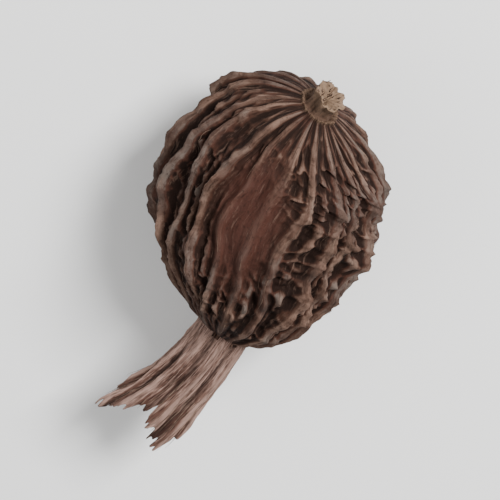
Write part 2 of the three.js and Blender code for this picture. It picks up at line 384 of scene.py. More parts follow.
def husk_radius(x):
    """Root of the sum of the squares of the egg's radius and the neck's."""
    neck = mix(BASE_NECK, TIP_NECK, (x - BASE_X) / (TIP_X - BASE_X))
    return np.hypot(egg_radius(x), neck)


# The husk's ribs

def draw_ribs():
    """One row of seeded draws for each rib, each spread over its own range."""
    draws = drawn(RIB_SEED, RIBS * len(RIB_RANGES)).reshape(RIBS, -1)
    ribs = {
        name: low + (high - low) * draws[:, column]
        for column, (name, (low, high)) in enumerate(RIB_RANGES.items())
    }
    ribs["fade_side"] = np.sign(ribs["fade_side"])
    return ribs


RIB = draw_ribs()


def rib_angle(k, x):
    """Angle of rib k at x: its even place and offset, a sway along x and a slow twist."""
    r = k % RIBS
    sway = RIB["sway"][r] * np.sin(TAU * x / RIB["sway_length"][r] + RIB["sway_phase"][r])
    return TAU * (k + RIB["offset"][r] + sway) / RIBS + RIB_TWIST * x


def rib_taper(x):
    """Smooth growth of the ribs: 0 at the centre line, 1 from their share of the full width."""
    return share_between(husk_radius(x), 0, RIB_FULL_FROM * HALF_WIDTH)


def rib_height(k, x):
    """Height of rib k at x: its size, swelling and toothed along x, lower towards the necks and
    where it fades."""
    r = k % RIBS
    swell = RIB["swell"][r] * np.sin(TAU * x / RIB["swell_length"][r] + RIB["swell_phase"][r])
    tooth = RIB["tooth"][r] * np.sin(TAU * x / RIB["tooth_length"][r] + RIB["tooth_phase"][r])
    start = RIB["fade_from"][r]
    faded = share_between(x * RIB["fade_side"][r], start, start + RIB_FADE_LENGTH)
    return RIB_HEIGHT * RIB["size"][r] * (1 + swell + tooth) * rib_taper(x) * (1 - RIB_FADE * faded)


# The husk's patches, corners and fine relief

def sideways_bump(angle, middle, spread):
    """A bell curve round the husk of the angle from the middle, the short way round."""
    return bump(np.arctan2(np.sin(angle - middle), np.cos(angle - middle)), spread)


def patch(x, angle, middle, length, spread):
    """1 in the middle of a soft patch of the husk at x = 0, falling as a bell curve along and
    around."""
    return bump(x, length) * sideways_bump(angle, middle, spread)


def unevenness(x, angle):
    """1, plus a cosine for the three blunt corners and sine waves for the dents."""
    fullness = egg_radius(x) / HALF_WIDTH
    corners = CORNER_SHARE * np.cos(CORNERS * (angle - CORNER_ANGLE))
    dents = sum(size * np.sin(n * angle + slope * x + phase) for n, slope, phase, size in DENTS)
    return 1 + fullness * (corners + DENT_SHARE * dents)


def rib_blades(x, around, to_crest):
    """A thin bell-shaped blade along each crest, higher and lower in stretches."""
    broken = np.clip(BLADE_MEAN + layered(around, x, *BLADE_NOISE), *BLADE_RANGE)
    return BLADE * bump(to_crest, BLADE_WIDTH) * broken


def riblets(x, turn, place, netted):
    """Second ridges: a bell curve that wanders about the middle of each valley, comes and goes
    along it, is uneven in height and grows away from the base."""
    valley = (turn - place + 0.5) / RIBS
    wander = 0.5 + RIBLET_STRAY * layered(valley, x, *RIBLET_WANDER)
    present = share_between(layered(valley, x, *RIBLET_PRESENCE) + netted, *RIBLET_PRESENT)
    uneven = RIBLET_MEAN + RIBLET_UNEVEN * layered(turn / RIBS, x, *RIBLET_NOISE)
    uneven = np.clip(uneven, *RIBLET_RANGE)
    grown = mix(RIBLET_START, 1, share_between(x, BASE_X, BASE_X + RIBLET_GROWTH))
    return RIBLET * grown * bump(place - wander, RIBLET_WIDTH) * present * uneven


def shrinkage_net(x, around, lean, netted):
    """Folds where a leaning noise crosses 0, and knots from a finer one: full on the netted
    side, low and in patches elsewhere."""
    net = folds(layered(around + NET_SLANT * x, x + lean, *NET_NOISE), NET_FOLD_WIDTH)
    knots = layered(around + KNOT_SLANT * x, x, *KNOT_NOISE)
    patchy = share_between(layered(around, x, *NET_PATCHES), -0.5, 0.5)
    height = NET * (NET_FOLDS * net + NET_KNOTS * knots)
    return height * mix(mix(*NET_ELSEWHERE, patchy), 1, netted)


def fine_relief(x, turn, angle, place, crest, smooth):
    """Height of the fine relief: the blades, the second ridges, the net, oblique folds down the
    flanks, wrinkles and fibre lines. The smooth face keeps low ripples and fainter lines."""
    around = turn / RIBS
    lean = np.sin(2 * TAU * around)
    netted = sideways_bump(angle, NET_ANGLE, NET_SPREAD)
    rough = rib_blades(x, around, np.minimum(place, 1 - place)) + riblets(x, turn, place, netted)
    rough = rough + shrinkage_net(x, around, lean, netted) * (1 - NET_CREST_CALM * crest)
    slanted = folds(layered(around + FOLD_SLANT * x, x, *FOLD_NOISE), FOLD_WIDTH)
    rough = rough + FOLD * slanted * (1 - crest)
    wrinkles = folds(layered(around, x + 0.5 * lean, *CRINKLE_NOISE))
    rough = rough + CRINKLE * (wrinkles - CRINKLE_MEAN)
    ripple = FACE_RIPPLE * layered(around, x, *RIPPLE_NOISE)
    lines = GRAIN * layered(around, x, *GRAIN_NOISE) * mix(1, FACE_LINES, smooth)
    return mix(rough, ripple, share_between(smooth, *SMOOTH_RIM)) + lines


# The husk's skin

def box_mean(field, rows, columns):
    """Mean of the field over a window of rows by columns, closed round the columns."""
    padded = np.pad(field, ((rows, rows), (0, 0)), mode="edge")
    tall = sum(padded[n : n + len(field)] for n in range(2 * rows + 1)) / (2 * rows + 1)
    wide = sum(np.roll(tall, n, axis=1) for n in range(-columns, columns + 1))
    return wide / (2 * columns + 1)


def husk_fields(x, turn):
    """Points of the husk at station x and rib coordinate turn, with the fields that its colour
    follows: the crest of the ribs, the smooth face, the fine height and the fibre direction."""
    k = np.floor(turn).astype(int)
    place = turn - k
    angle = mix(rib_angle(k, x), rib_angle(k + 1, x), place)
    angle = angle + WOBBLE * layered(turn / RIBS, x, *WOBBLE_NOISE)
    spot = patch(x, angle, -TAU / 4, SPOT_LENGTH, SPOT_ANGLE)
    face = patch(x, angle, FACE_ANGLE, FACE_LENGTH, FACE_SPREAD)
    rib_share = (1 - SPOT_PRESS * spot) * (1 - FACE_CALM * face)
    nearest = np.where(place < 0.5, k, k + 1)
    crest = (0.5 + 0.5 * np.cos(TAU * place)) ** RIB["sharpness"][nearest % RIBS]
    taper = rib_taper(x)
    to_end = np.minimum(x - BASE_X, TIP_X - x)
    rim = 1 - RIM_SHARE * (1 - share_between(to_end, 0, RIM_FADE))
    relief = rib_height(nearest, x) * crest * rib_share * rim
    smooth = patch(x, angle, FACE_ANGLE, SMOOTH_LENGTH, SMOOTH_SPREAD)
    fine = fine_relief(x, turn, angle, place, crest, smooth)
    fine = fine * rim * taper * (1 - SPOT_CALM * spot)
    egg = husk_radius(x) * mix(unevenness(x, angle), 1, spot)
    radius = egg + relief + fine - SINK * taper
    depth = mix(1, DEPTH_SHARE, egg_radius(x) / HALF_WIDTH)
    points = on_section(x, angle, radius, radius * depth)
    points[..., 2] = np.maximum(0, points[..., 2])
    lean = TAU * turn / RIBS
    fibre = np.stack([HALF_WIDTH * np.cos(lean), HALF_WIDTH * np.sin(lean), x], axis=-1)
    return points, crest, smooth, relief + fine, fibre


# Meshes

def tube_faces(rows, columns):
    """Corners and sizes of the faces over rings of points between two poles, numbered pole,
    rings, pole: quads between the rings and a fan of triangles to each pole. They point
    outwards where the rings turn from across to up and run towards +X."""
    here = 1 + np.arange(rows)[:, None] * columns + np.arange(columns)
    there = np.roll(here, -1, axis=1)
    quads = np.stack([here[:-1], there[:-1], there[1:], here[1:]], axis=-1)
    first_pole = np.zeros(columns, dtype=int)
    last_pole = np.full(columns, 1 + rows * columns)
    first_fan = np.stack([first_pole, there[0], here[0]], axis=-1)
    last_fan = np.stack([last_pole, here[-1], there[-1]], axis=-1)
    corners = np.concatenate([quads.ravel(), first_fan.ravel(), last_fan.ravel()])
    sizes = np.concatenate([np.full((rows - 1) * columns, 4), np.full(2 * columns, 3)])
    return corners, sizes


def closed_skin(name, rings, start_pole, end_pole):
    """A mesh from rings of points, rows by columns, closed by a pole at each end."""
    points = np.concatenate([[start_pole], rings.reshape(-1, 3), [end_pole]]) * MM
    return filled_mesh(name, points, *tube_faces(*rings.shape[:2]))


def filled_mesh(name, points, corners, sizes):
    """A smooth-shaded object at the origin from flat arrays of points, corners and face sizes."""
    mesh = bpy.data.meshes.new(name)
    mesh.vertices.add(len(points))
    mesh.vertices.foreach_set("co", np.ascontiguousarray(points, dtype=np.float32).ravel())
    mesh.loops.add(len(corners))
    mesh.loops.foreach_set("vertex_index", corners.astype(np.int32))
    mesh.polygons.add(len(sizes))
    starts = np.concatenate([[0], np.cumsum(sizes)[:-1]])
    mesh.polygons.foreach_set("loop_start", starts.astype(np.int32))
    mesh.update(calc_edges=True)
    mesh.validate()
    mesh.polygons.foreach_set("use_smooth", np.ones(len(mesh.polygons), dtype=bool))
    piece = bpy.data.objects.new(name, mesh)
    bpy.context.scene.collection.objects.link(piece)
    return piece


def keep_field(piece, name, field, poles=(0.0, 0.0)):
    """Stores one number per vertex of a closed skin, with its own values at the two poles."""
    values = np.concatenate([[poles[0]], np.ravel(field), [poles[1]]])
    store = piece.data.attributes.new(name, "FLOAT", "POINT")
    store.data.foreach_set("value", values.astype(np.float32))


def keep_directions(piece, name, field):
    """Stores one vector per vertex of a closed skin, repeating the end rings' at the poles."""
    flat = field.reshape(-1, 3)
    values = np.concatenate([flat[:1], flat, flat[-1:]])
    store = piece.data.attributes.new(name, "FLOAT_VECTOR", "POINT")
    store.data.foreach_set("vector", values.astype(np.float32).ravel())


def strands(name, paths, radii):
    """Tapering fibres: each path of points carries a ring in the two directions square to it,
    closed by a fan at both ends. The ring shrinks as the square root of 1 less a power of the
    way along."""
    count, steps = paths.shape[:2]
    along = np.gradient(paths, axis=1)
    along /= np.linalg.norm(along, axis=-1, keepdims=True)
    across = np.cross(along, FIBRE_ASIDE)
    across /= np.linalg.norm(across, axis=-1, keepdims=True)
    up = np.cross(along, across)
    turn = TAU * np.arange(FIBRE_SIDES) / FIBRE_SIDES
    way = np.linspace(0, 1, steps)
    taper = np.sqrt(np.clip(1 + FIBRE_TIP - way**FIBRE_TAPER, FIBRE_TIP, 1))
    radius = (radii[:, None] * taper)[..., None, None]
    ring = np.cos(turn)[:, None] * across[..., None, :] + np.sin(turn)[:, None] * up[..., None, :]
    body = (paths[:, :, None, :] + radius * ring).reshape(count, -1, 3)
    points = np.concatenate([paths[:, :1], body, paths[:, -1:]], axis=1)
    corners, sizes = tube_faces(steps, FIBRE_SIDES)
    corners = corners + points.shape[1] * np.arange(count)[:, None]
    return filled_mesh(name, points.reshape(-1, 3) * MM, corners.ravel(), np.tile(sizes, count))


# The pieces

def with_lip(field):
    """A field of the husk, with its first row repeated over the skin that turns in."""
    return np.concatenate([np.repeat(field[:1], LIP_ROWS, axis=0), field])


def make_husk():
    """The husk's skin, rows crowded to its ends, with the skin rolled in to both poles."""
    share = np.linspace(0, 1, HUSK_ROWS)
    crowded = 0.5 - 0.5 * np.cos(math.pi * share)
    station = mix(BASE_X, TIP_X, mix(share, crowded, HUSK_CROWDING))
    turn = np.arange(HUSK_COLUMNS) * RIBS / HUSK_COLUMNS
    x, around = np.meshgrid(station, turn, indexing="ij")
    points, crest, smooth, height, fibre = husk_fields(x, around)
    lip = np.linspace(0, 1, LIP_ROWS + 2)[1:-1, None, None]
    start, end = (section_at(np.array(place))[0] for place in (BASE_X, TIP_X))
    inner = section_at(np.array(BASE_X + LIP_ROLL))[0]
    rolled = mix(points[:1], start, LIP_CLOSING * lip) + (inner - start) * lip**2
    rings = np.concatenate([rolled[::-1], points])
    husk = closed_skin("husk_skin", rings, inner, end)
    low_ends = mix(END_CONTRAST, 1, rib_taper(x))
    edge = (height - box_mean(height, *EDGE_WINDOW)) / low_ends
    hollow = (height - box_mean(height, *HOLLOW_WINDOW)) / low_ends
    scar = 1 - share_between(x, BASE_X, BASE_X + SCAR_LENGTH)
    fields = {"crest": crest, "edge": edge, "hollow": hollow, "smooth": smooth, "scar": scar}
    for name, field in fields.items():
        keep_field(husk, name, with_lip(field))
    keep_directions(husk, "fibre", with_lip(fibre))
    return husk


def calyx_reach(angle):
    """Length of the calyx at each angle: three lobes, a slant and torn fibres of three widths."""
    lobe = np.abs(np.cos(CALYX_LOBES / 2 * (angle - CALYX_LOBE_ANGLE)))
    slant = 1 + CALYX_SLANT * np.cos(angle - CALYX_SLANT_ANGLE)
    notch = 1 - CALYX_NOTCH * (1 - lobe**CALYX_LOBE_POINT)
    around = angle / TAU
    zero = np.zeros_like(angle)
    tear = sum(
        part * lattice(around, zero, cells, 1, CALYX_TEAR_SEED + n)
        for n, (cells, part) in enumerate(CALYX_TEARS)
    )
    tear = np.clip(0.5 + CALYX_TEAR_CONTRAST * tear, 0, 1)
    return CALYX_LENGTH * slant * notch * (1 - CALYX_TEAR * tear)


def calyx_surface(share, angle, sunk):
    """Points of the calyx at a share of its reach, sunk below its outer face: a round root that
    flattens along its length, with pleats, nerves and a fluttering edge that curls out."""
    reach = calyx_reach(angle)
    x = TIP_X + NECK_GAP + mix(-CALYX_TUCK, reach, share)
    along = np.clip(share * reach / CALYX_LENGTH, 0, CALYX_FURTHEST)
    around = angle / TAU
    pleat_angle = CALYX_PLEATS * angle + CALYX_PLEAT_DRIFT * np.sin(2 * angle)
    pleat = CALYX_PLEAT_DEPTH * np.cos(pleat_angle) * np.minimum(1, CALYX_PLEAT_START + along)
    nerve = folds(layered(around, x, *CALYX_NERVE_NOISE))
    nerve = CALYX_NERVE * (nerve - CALYX_NERVE_MEAN)
    crinkle = CALYX_CRINKLE * layered(around, x, *CALYX_CRINKLE_NOISE)
    flutter = CALYX_FLUTTER * layered(around, x, *CALYX_FLUTTER_NOISE) * along**2
    curl = CALYX_CURL * share_between(share, CALYX_CURL_FROM, 1)
    root = CALYX_ROOT - CALYX_SLIM
    wide = mix(root, CALYX_HALF_WIDTH, share_between(along, 0, 1))
    deep = mix(root, CALYX_HALF_DEPTH, share_between(along, *CALYX_FLATTENING))
    rise = pleat + nerve + crinkle + flutter + curl - sunk
    points = on_section(x, angle, wide + rise, deep + rise)
    return points, nerve + crinkle + pleat, x


def make_calyx():
    """Outside rows from the root to the torn edge, then inside rows back to the tube's floor,
    under a wall that thins towards the edge."""
    angle = TAU * np.arange(CALYX_COLUMNS) / CALYX_COLUMNS
    outer = np.linspace(0, 1, CALYX_ROWS) ** CALYX_CROWDING
    inner = np.linspace(1, CALYX_FLOOR, CALYX_INNER_ROWS)
    share = np.concatenate([outer, inner])
    sunk = np.concatenate([np.zeros(CALYX_ROWS), mix(CALYX_WALL_ROOT, CALYX_WALL_EDGE, inner)])
    share_grid, around = np.meshgrid(share, angle, indexing="ij")
    sunk_grid = np.broadcast_to(sunk[:, None], share_grid.shape)
    points, height, x = calyx_surface(share_grid, around, sunk_grid)
    root = section_at(np.array(TIP_X + NECK_GAP - CALYX_TUCK))[0]
    floor = section_at(np.array(TIP_X + NECK_GAP + CALYX_FLOOR_MIDDLE * CALYX_LENGTH))[0]
    calyx = closed_skin("calyx_tube", points, root, floor)
    inside = np.concatenate([np.zeros(CALYX_ROWS), np.ones(CALYX_INNER_ROWS)])
    fields = {
        "edge": height,
        "tip": share_grid,
        "inside": np.broadcast_to(inside[:, None], share_grid.shape),
    }
    for name, field in fields.items():
        keep_field(calyx, name, field)
    fibre = np.stack([CALYX_ROOT * np.cos(around), CALYX_ROOT * np.sin(around), x], axis=-1)
    keep_directions(calyx, "fibre", fibre)
    return calyx


def stalk_surface(share, angle, end):
    """Points of the stub: share 0 is the broken end and 1 the root. Waisted and grooved, with
    splinters of uneven length, and where end grows it closes over the broken face to the pith."""
    around = angle / TAU
    outer = 1 - share
    waist = 1 - STALK_WAIST * np.sin(math.pi * np.clip(share, 0, 1))
    groove_angle = STALK_GROOVES * angle + STALK_TWIST * share
    groove = 1 + STALK_GROOVE_DEPTH * np.cos(groove_angle)
    along = STALK_NOISE_LENGTH * share
    bark = STALK_BUMPS * layered(around, along, *STALK_BUMP_NOISE)
    bark = bark - STALK_FURROW * folds(layered(around, along, *STALK_FURROW_NOISE))
    flare = STALK_FLARE * share_between(share, STALK_FLARE_FROM, 1)
    splinter = 0.5 + 0.5 * layered(around, np.zeros_like(angle), *STALK_SPLINTER_NOISE)
    reach = STALK_LENGTH - STALK_SPLINTER * splinter * outer
    bumps = STALK_PITH_BUMPS * layered(around, STALK_FACE_LENGTH * end, *STALK_PITH_NOISE)
    dip = STALK_PITH * share_between(end, 0, 1) + bumps
    x = BASE_X - NECK_GAP - outer * reach + STALK_TUCK * share + dip * (end > 0)
    radius = (STALK_RADIUS * waist * groove + bark + flare) * mix(1, STALK_PITH_RADIUS, end)
    return on_section(x, angle, radius, radius), STALK_GROOVE_TONE * groove + bark


def make_stalk():
    """Rows over the broken face from the pith outwards, then along the bark to the root."""
    angle = TAU * np.arange(STALK_COLUMNS) / STALK_COLUMNS
    end = np.concatenate([np.linspace(1, 0, STALK_END_ROWS, endpoint=False), np.zeros(STALK_ROWS)])
    share = np.concatenate([np.zeros(STALK_END_ROWS), np.linspace(0, 1, STALK_ROWS)])
    share_grid, around = np.meshgrid(share, angle, indexing="ij")
    end_grid = np.broadcast_to(end[:, None], share_grid.shape)
    points, height = stalk_surface(share_grid, around, end_grid)
    root = section_at(np.array(BASE_X - NECK_GAP + STALK_TUCK))[0]
    stalk = closed_skin("stalk_stub", points, points[0].mean(axis=0), root)
    keep_field(stalk, "edge", height)
    broken = share_between(end_grid + STALK_PALE_RIM * (1 - share_grid), 0, STALK_PALE_FADE)
    keep_field(stalk, "broken", broken, poles=(1, 0))
    fibre = np.stack([np.cos(around), np.sin(around), share_grid * STALK_LENGTH], axis=-1)
    keep_directions(stalk, "fibre", fibre)
    return stalk


def make_husk_fibres():
    """Fibres lifting off the rib crests: each follows the skin for a few millimetres, drifts
    across the rib and rises with the square of the way along it."""
    rng = np.random.default_rng(HUSK_FIBRE_SEED)
    start = rng.uniform(*HUSK_FIBRE_STARTS, HUSK_FIBRES)
    rib = rng.integers(0, RIBS, HUSK_FIBRES) + rng.normal(0, HUSK_FIBRE_OFF_CREST, HUSK_FIBRES)
    length = rng.uniform(*HUSK_FIBRE_LENGTH, HUSK_FIBRES) * rng.choice([-1, 1], HUSK_FIBRES)
    drift = rng.normal(0, HUSK_FIBRE_DRIFT, HUSK_FIBRES)
    lift = rng.uniform(*HUSK_FIBRE_LIFT, HUSK_FIBRES)
    t = np.linspace(0, 1, FIBRE_RINGS)
    x = np.clip(start[:, None] + length[:, None] * t, *HUSK_FIBRE_REACH)
    turn = np.mod(rib[:, None] + drift[:, None] * t**1.5, RIBS)
    points = husk_fields(x, turn)[0]
    outwards = points - section_at(x)[0]
    outwards /= np.linalg.norm(outwards, axis=-1, keepdims=True)
    paths = points + outwards * (HUSK_FIBRE_CLEARANCE + lift[:, None] * t**2)[..., None]
    above = points[:, :, 2].min(axis=1) > HUSK_FIBRE_LOWEST
    radii = rng.uniform(*HUSK_FIBRE_RADIUS, HUSK_FIBRES)
    return strands("husk_fibres", paths[above], radii[above])


def make_calyx_fibres():
    """Fibres of the torn edge: each runs up the calyx wall and past its edge, fanning out."""
    rng = np.random.default_rng(CALYX_FIBRE_SEED)
    angle = rng.uniform(0, TAU, CALYX_FIBRES)
    start = rng.uniform(*CALYX_FIBRE_START, CALYX_FIBRES)
    end = rng.uniform(*CALYX_FIBRE_END, CALYX_FIBRES)
    drift = rng.normal(0, CALYX_FIBRE_DRIFT, CALYX_FIBRES)
    lift = rng.uniform(*CALYX_FIBRE_LIFT, CALYX_FIBRES)
    t = np.linspace(0, 1, FIBRE_RINGS)
    end = np.maximum(end, start + CALYX_FIBRE_SHORTEST)
    share = mix(start[:, None], end[:, None], t)
    around = angle[:, None] + drift[:, None] * t
    sunk = CALYX_FIBRE_SUNK - lift[:, None] * t**2
    paths = calyx_surface(share, around, sunk)[0]
    return strands("calyx_fibres", paths, rng.uniform(*CALYX_FIBRE_RADIUS, CALYX_FIBRES))


def make_stalk_fibres():
    """Splinters of the broken stalk: short fibres standing out of its broken face."""
    rng = np.random.default_rng(STALK_FIBRE_SEED)
    angle = rng.uniform(0, TAU, STALK_FIBRES)
    inwards = rng.uniform(*STALK_FIBRE_INWARDS, STALK_FIBRES)
    length = rng.uniform(*STALK_FIBRE_LENGTH, STALK_FIBRES)
    t = np.linspace(0, 1, FIBRE_RINGS)
    zero = np.zeros((STALK_FIBRES, FIBRE_RINGS))
    around = angle[:, None] + rng.normal(0, STALK_FIBRE_DRIFT, STALK_FIBRES)[:, None] * t
    paths = stalk_surface(zero, around, zero + inwards[:, None])[0]
    outwards = section_at(np.array(BASE_X - 2.0))[0] - section_at(np.array(BASE_X))[0]
    outwards /= np.linalg.norm(outwards)
    paths = paths + outwards * (length[:, None] * (t - STALK_FIBRE_ROOT))[..., None]
    return strands("stalk_fibres", paths, rng.uniform(*STALK_FIBRE_RADIUS, STALK_FIBRES))


# Materials

COLOUR_SOCKETS = slice(6, 8)  # the two colour inputs of a Mix node
COLOUR_RESULT = 2  # and its colour output


class Finish:
    """A new material with its shader, and short ways to add and join nodes."""

    def __init__(self, name, roughness, specular):
        self.material = bpy.data.materials.new(name)
        self.material.use_nodes = True
        self.tree = self.material.node_tree
        self.shader = self.tree.nodes["Principled BSDF"]
        self.shader.inputs["Roughness"].default_value = roughness
        self.shader.inputs["Specular IOR Level"].default_value = specular

    def join(self, source, target):
        self.tree.links.new(source, target)

    def field(self, name):
        node = self.tree.nodes.new("ShaderNodeAttribute")
        node.attribute_name = name
        return node

    def number(self, name):
        return self.field(name).outputs["Fac"]

    def stretched(self, name, scale):
        """The attribute's vector times scale, so that noise on it is drawn out."""
        node = self.tree.nodes.new("ShaderNodeMapping")
        node.inputs["Scale"].default_value = scale
        self.join(self.field(name).outputs["Vector"], node.inputs["Vector"])
        return node.outputs["Vector"]

    def place(self):
        return self.tree.nodes.new("ShaderNodeTexCoord").outputs["Object"]

    def noise(self, vector, scale, detail=4.0, rough=0.55, bend=0.0):
        node = self.tree.nodes.new("ShaderNodeTexNoise")
        node.inputs["Scale"].default_value = scale
        node.inputs["Detail"].default_value = detail
        node.inputs["Roughness"].default_value = rough
        node.inputs["Distortion"].default_value = bend
        self.join(vector, node.inputs["Vector"])
        return node.outputs["Fac"]

    def ramp(self, source, low, high, to_low=0.0, to_high=1.0):
        """source from low to high spread smoothly over to_low to to_high."""
        node = self.tree.nodes.new("ShaderNodeMapRange")
        node.interpolation_type = "SMOOTHSTEP"
        values = {"From Min": low, "From Max": high, "To Min": to_low, "To Max": to_high}
        for socket, value in values.items():
            node.inputs[socket].default_value = value
        self.join(source, node.inputs["Value"])
        return node.outputs["Result"]

    def combined(self, operation, a, b):
        node = self.tree.nodes.new("ShaderNodeMath")
        node.operation = operation
        for socket, value in zip(node.inputs, (a, b)):
            if isinstance(value, (int, float)):
                socket.default_value = value
            else:
                self.join(value, socket)
        return node.outputs["Value"]

    def times(self, a, b):
        return self.combined("MULTIPLY", a, b)

    def larger(self, a, b):
        return self.combined("MAXIMUM", a, b)

    def tint(self, under, over, share):
        """The colour over laid on the colour under, by share."""
        node = self.tree.nodes.new("ShaderNodeMix")
        node.data_type = "RGBA"
        for socket, colour in zip(node.inputs[COLOUR_SOCKETS], (under, over)):
            if isinstance(colour, tuple):
                socket.default_value = (*linear(colour), 1.0)
            else:
                self.join(colour, socket)
        self.join(share, node.inputs["Factor"])
        return node.outputs[COLOUR_RESULT]

    def relief(self, heights):
        """Bumps in turn from pairs of a height and its depth in millimetres."""
        normal = None
        for height, depth in heights:
            node = self.tree.nodes.new("ShaderNodeBump")
            node.inputs["Strength"].default_value = 1.0
            node.inputs["Distance"].default_value = depth * MM
            self.join(height, node.inputs["Height"])
            if normal is not None:
                self.join(normal, node.inputs["Normal"])
            normal = node.outputs["Normal"]
        self.join(normal, self.shader.inputs["Normal"])


def linear(colour):
    """Display red, green and blue from 0 to 255 as the linear values a shader takes."""
    share = np.array(colour) / 255
    return tuple(np.where(share <= 0.04045, share / 12.92, ((share + 0.055) / 1.055) ** 2.4))


# Colours as they look, red, green and blue
SKIN_BROWN = (55, 34, 25)
SKIN_RED = (64, 38, 29)
SKIN_DARK = (34, 19, 13)
# Painted shade for the valleys and creases of the husk, also the dark of some fine fibre streaks
VALLEY_SHADE_AND_DARK_STREAK = (20, 8, 4)
CREST_DUST = (111, 88, 76)
CREST_GREY = (95, 84, 77)
FACE_RED = (66, 38, 30)
SCAR_PALE = (108, 86, 69)
CALYX_BROWN = (77, 52, 43)
# Pale streaks of the calyx, also its painted highlight and the painted light near its root
CALYX_PALE_AND_HIGHLIGHT = (152, 124, 112)
# Dark streaks of the calyx, also its painted shade between the pleats
CALYX_DARK_AND_SHADE = (34, 19, 14)
CALYX_TIP = (98, 73, 63)
STALK_BARK = (76, 56, 45)
STALK_WOOD = (126, 104, 85)
STALK_DARK = (38, 26, 20)
FIBRE_PALE = (112, 92, 78)
FIBRE_BROWN = (66, 48, 38)
FLOOR_GREY = (244, 244, 243)


def husk_finish():
    """Dry brown skin: reddish and darker areas, valleys and creases darkened nearly to black with
    painted shade, crests and edges dusted pale or grey, a redder smooth face, lengthwise fibre
    streaks, specks and the pale scar."""
    finish = Finish("dry_husk_skin", 0.78, 0.14)
    place = finish.place()
    fibres = finish.stretched("fibre", (1.0, 1.0, 0.12))
    broad = finish.noise(place, 190.0, detail=3.0)
    patches = finish.noise(place, 520.0, detail=5.0, rough=0.62, bend=0.6)
    streaks = finish.noise(fibres, 2.4, detail=5.0, rough=0.7, bend=0.3)
    fine_streaks = finish.noise(fibres, 5.5, detail=4.0, rough=0.72, bend=0.15)
    grain = finish.noise(place, 4200.0, detail=4.0, rough=0.7)
    smooth = finish.number("smooth")
    bare = finish.ramp(smooth, 0.1, 0.6, 1.0, 0.3)
    colour = finish.tint(SKIN_BROWN, SKIN_RED, finish.ramp(broad, 0.42, 0.6))
    colour = finish.tint(colour, SKIN_DARK, finish.ramp(patches, 0.5, 0.68, 0.0, 0.7))
    colour = finish.tint(colour, FACE_RED, finish.ramp(smooth, 0.15, 0.7, 0.0, 0.9))
    # Painted shade: the colour darkens the hollows and creases of the relief, where shade falls
    deep = finish.ramp(finish.number("hollow"), -0.08, -0.42, 0.0, 0.85)
    painted_crease_shade = finish.ramp(finish.number("edge"), 0.01, -0.1, 0.0, 0.9)
    colour = finish.tint(colour, VALLEY_SHADE_AND_DARK_STREAK, finish.times(finish.larger(deep, painted_crease_shade), bare))
    raised = finish.ramp(finish.number("edge"), 0.0, 0.11)
    tall = finish.ramp(finish.number("hollow"), -0.25, 0.15, 0.4, 1.0)
    ridge = finish.ramp(finish.number("crest"), 0.55, 1.0, 0.0, 0.55)
    dust = finish.times(finish.larger(finish.times(raised, tall), ridge), bare)
    dust = finish.times(dust, finish.ramp(streaks, 0.3, 0.6, 0.25))
    dust = finish.times(dust, finish.ramp(patches, 0.62, 0.42, 0.35))
    chalk = finish.tint(CREST_DUST, CREST_GREY, finish.ramp(broad, 0.44, 0.6))
    colour = finish.tint(colour, chalk, dust)
    colour = finish.tint(colour, CREST_DUST, finish.ramp(fine_streaks, 0.54, 0.72, 0.0, 0.5))
    colour = finish.tint(colour, VALLEY_SHADE_AND_DARK_STREAK, finish.ramp(fine_streaks, 0.46, 0.3, 0.0, 0.6))
    colour = finish.tint(colour, SKIN_DARK, finish.ramp(grain, 0.54, 0.7, 0.0, 0.6))
    scar = finish.times(finish.number("scar"), finish.ramp(streaks, 0.3, 0.6, 0.3, 1.0))
    colour = finish.tint(colour, SCAR_PALE, finish.ramp(scar, 0.3, 0.9, 0.0, 0.7))
    finish.join(colour, finish.shader.inputs["Base Color"])
    finish.join(finish.ramp(smooth, 0.1, 0.8, 0.84, 0.58), finish.shader.inputs["Roughness"])
    finish.relief([(fine_streaks, 0.11), (patches, 0.08), (grain, 0.035)])
    return finish.material


def calyx_finish():
    """Papery streaks: brown between pale lengthwise streaks, a painted highlight on the raised
    nerves and pleats and painted shade between them, painted light that makes it paler towards the
    root, and darker inside the tube."""
    finish = Finish("papery_calyx", 0.82, 0.18)
    place = finish.place()
    fibres = finish.stretched("fibre", (1.0, 1.0, 0.07))
    streaks = finish.noise(fibres, 6.0, detail=4.0, rough=0.65, bend=0.2)
    fine_streaks = finish.noise(fibres, 17.0, detail=3.0, rough=0.6)
    patches = finish.noise(place, 520.0, detail=4.0, rough=0.6)
    grain = finish.noise(place, 5200.0, detail=3.0, rough=0.7)
    colour = finish.tint(CALYX_BROWN, CALYX_TIP, finish.ramp(patches, 0.4, 0.66))
    colour = finish.tint(colour, CALYX_PALE_AND_HIGHLIGHT, finish.ramp(streaks, 0.46, 0.62, 0.0, 0.9))
    # Painted light: the calyx is painted paler towards its root, where the husk's shadow falls on
    # it
    near_root = finish.ramp(finish.number("tip"), 0.6, 0.15)
    painted_root_light = finish.times(near_root, finish.ramp(streaks, 0.34, 0.58, 0.25, 0.85))
    colour = finish.tint(colour, CALYX_PALE_AND_HIGHLIGHT, painted_root_light)
    colour = finish.tint(colour, CALYX_DARK_AND_SHADE, finish.ramp(fine_streaks, 0.52, 0.36, 0.0, 0.8))
    # Painted shade in the hollows between the pleats and nerves, and a painted highlight on their
    # raised crests
    folded = finish.number("edge")
    colour = finish.tint(colour, CALYX_DARK_AND_SHADE, finish.ramp(folded, 0.02, -0.22, 0.0, 0.8))
    colour = finish.tint(colour, CALYX_PALE_AND_HIGHLIGHT, finish.ramp(folded, 0.08, 0.28, 0.0, 0.75))
    colour = finish.tint(colour, CALYX_DARK_AND_SHADE, finish.times(finish.number("inside"), 0.35))
    finish.join(colour, finish.shader.inputs["Base Color"])
    finish.relief([(fine_streaks, 0.06), (grain, 0.015)])
    return finish.material


